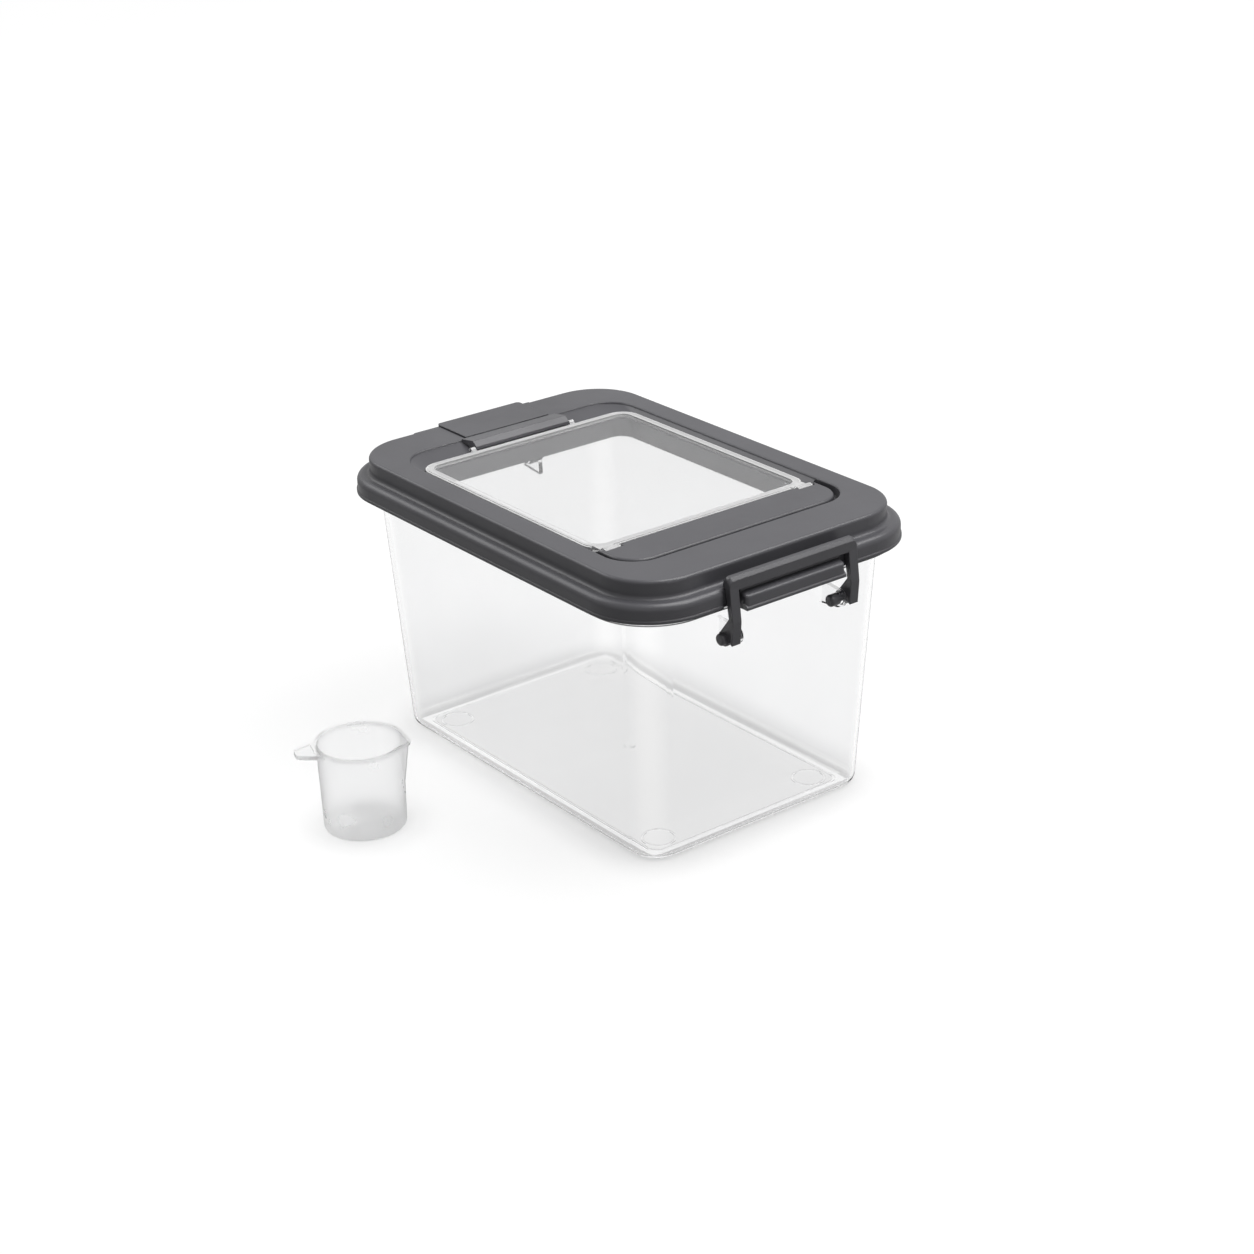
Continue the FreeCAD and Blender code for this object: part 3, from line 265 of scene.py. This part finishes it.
def seen_directly(tree, mirrored):
    """One where the camera looks, also through clear plastic, and a share of it in mirror reflections."""
    path = tree.nodes.new("ShaderNodeLightPath")
    looks = maths(tree, "MAXIMUM", path.outputs["Is Camera Ray"], path.outputs["Is Transmission Ray"])
    mirrors = maths(tree, "MULTIPLY", path.outputs["Is Glossy Ray"], mirrored)
    undimmed = maths(tree, "LESS_THAN", path.outputs["Diffuse Depth"], 0.5)
    return maths(tree, "MULTIPLY", maths(tree, "MAXIMUM", looks, mirrors), undimmed)


def painted_contact_shadow(tree):
    """One on the open floor, less close to what stands on it, and one again under the tub: a painted
    contact shadow that darkens the floor's glow near the things on it.
    """
    # Painted shadow: the floor's glow is darkened where its surroundings are covered close by.
    cover = tree.nodes.new("ShaderNodeAmbientOcclusion")
    cover.samples = 8
    cover.inputs["Distance"].default_value = CONTACT_REACH
    across, along, _ = axes(tree)
    past_ends = maths(tree, "GREATER_THAN", across, FOOT_END)
    past_sides = maths(tree, "GREATER_THAN", along, FOOT_SIDE)
    covered = maths(tree, "SUBTRACT", 1.0, cover.outputs["AO"])
    shade = maths(tree, "MULTIPLY", maths(tree, "MAXIMUM", past_ends, past_sides), covered)
    return maths(tree, "MULTIPLY_ADD", shade, -CONTACT_DEPTH, 1.0)


def make_floor():
    """A wide pale floor that keeps the lamps' soft shadows and a painted contact shadow near the object,
    and is evenly white further off.
    """
    bpy.ops.mesh.primitive_plane_add(size=FLOOR_SIZE)
    floor = bpy.context.object
    floor.name = "studio_floor"
    material, tree, shader = node_setup("floor_white")
    shade = tint(tree, noise(tree, 3, 2), (0.27, 0.27, 0.27), (0.29, 0.29, 0.29))
    tree.links.new(shade, shader.inputs["Base Color"])
    shader.inputs["Roughness"].default_value = 0.9
    shader.inputs["Specular IOR Level"].default_value = 0
    shader.inputs["Emission Color"].default_value = WHITE
    away = tree.nodes.new("ShaderNodeVectorMath")
    away.operation = "LENGTH"
    tree.links.new(place(tree), away.inputs[0])
    glow = spread(tree, away.outputs["Value"], GLOW_NEAR, GLOW_FAR, GLOW_START, GLOW_END)
    # Painted shadow: the glow is darkened near the things that stand on the floor.
    glow_with_painted_shadow = maths(tree, "MULTIPLY", glow, painted_contact_shadow(tree))
    seen = maths(tree, "MULTIPLY", seen_directly(tree, FLOOR_MIRRORED), glow_with_painted_shadow)
    tree.links.new(seen, shader.inputs["Emission Strength"])
    floor.data.materials.append(material)


def make_world():
    """White surroundings, dimmer as a light than as a background."""
    world = bpy.data.worlds.new("studio")
    scene.world = world
    world.use_nodes = True
    tree = world.node_tree
    sky = tree.nodes["Background"]
    sky.inputs["Color"].default_value = WHITE
    strength = spread(tree, seen_directly(tree, SKY_MIRRORED), SKY_LIGHT, 1, 0, 1)
    tree.links.new(strength, sky.inputs["Strength"])


def soft_light(name, spot, target, width, tall, power):
    """A large soft light that faces a point."""
    lamp = bpy.data.lights.new(name, "AREA")
    lamp.shape = "RECTANGLE"
    lamp.size = width
    lamp.size_y = tall
    lamp.energy = power
    holder = bpy.data.objects.new(name, lamp)
    holder.location = spot
    holder.rotation_euler = (Vector(target) - Vector(spot)).to_track_quat("-Z", "Y").to_euler()
    scene.collection.objects.link(holder)


def make_camera():
    """The camera, by its turns, place and focal length."""
    azimuth, rise, roll = (math.radians(turn) for turn in CAMERA_TURNS)
    level_back = Vector((math.sin(azimuth), -math.cos(azimuth), 0))
    back = level_back * math.cos(rise) + Vector((0, 0, math.sin(rise)))
    level = Vector((math.cos(azimuth), math.sin(azimuth), 0))
    upward = back.cross(level)
    right = math.cos(roll) * level + math.sin(roll) * upward
    up = math.cos(roll) * upward - math.sin(roll) * level
    camera = bpy.data.cameras.new("camera")
    camera.sensor_width = CAMERA_SENSOR
    camera.lens = CAMERA_LENS
    camera.clip_end = CAMERA_FAR
    holder = bpy.data.objects.new("camera", camera)
    turned = Matrix((right, up, back)).transposed()
    holder.matrix_world = Matrix.Translation(CAMERA_SPOT) @ turned.to_4x4()
    scene.collection.objects.link(holder)
    scene.camera = holder


make_floor()
make_world()
for row in LAMPS:
    soft_light(*row)
make_camera()
scene.view_settings.view_transform = "Standard"
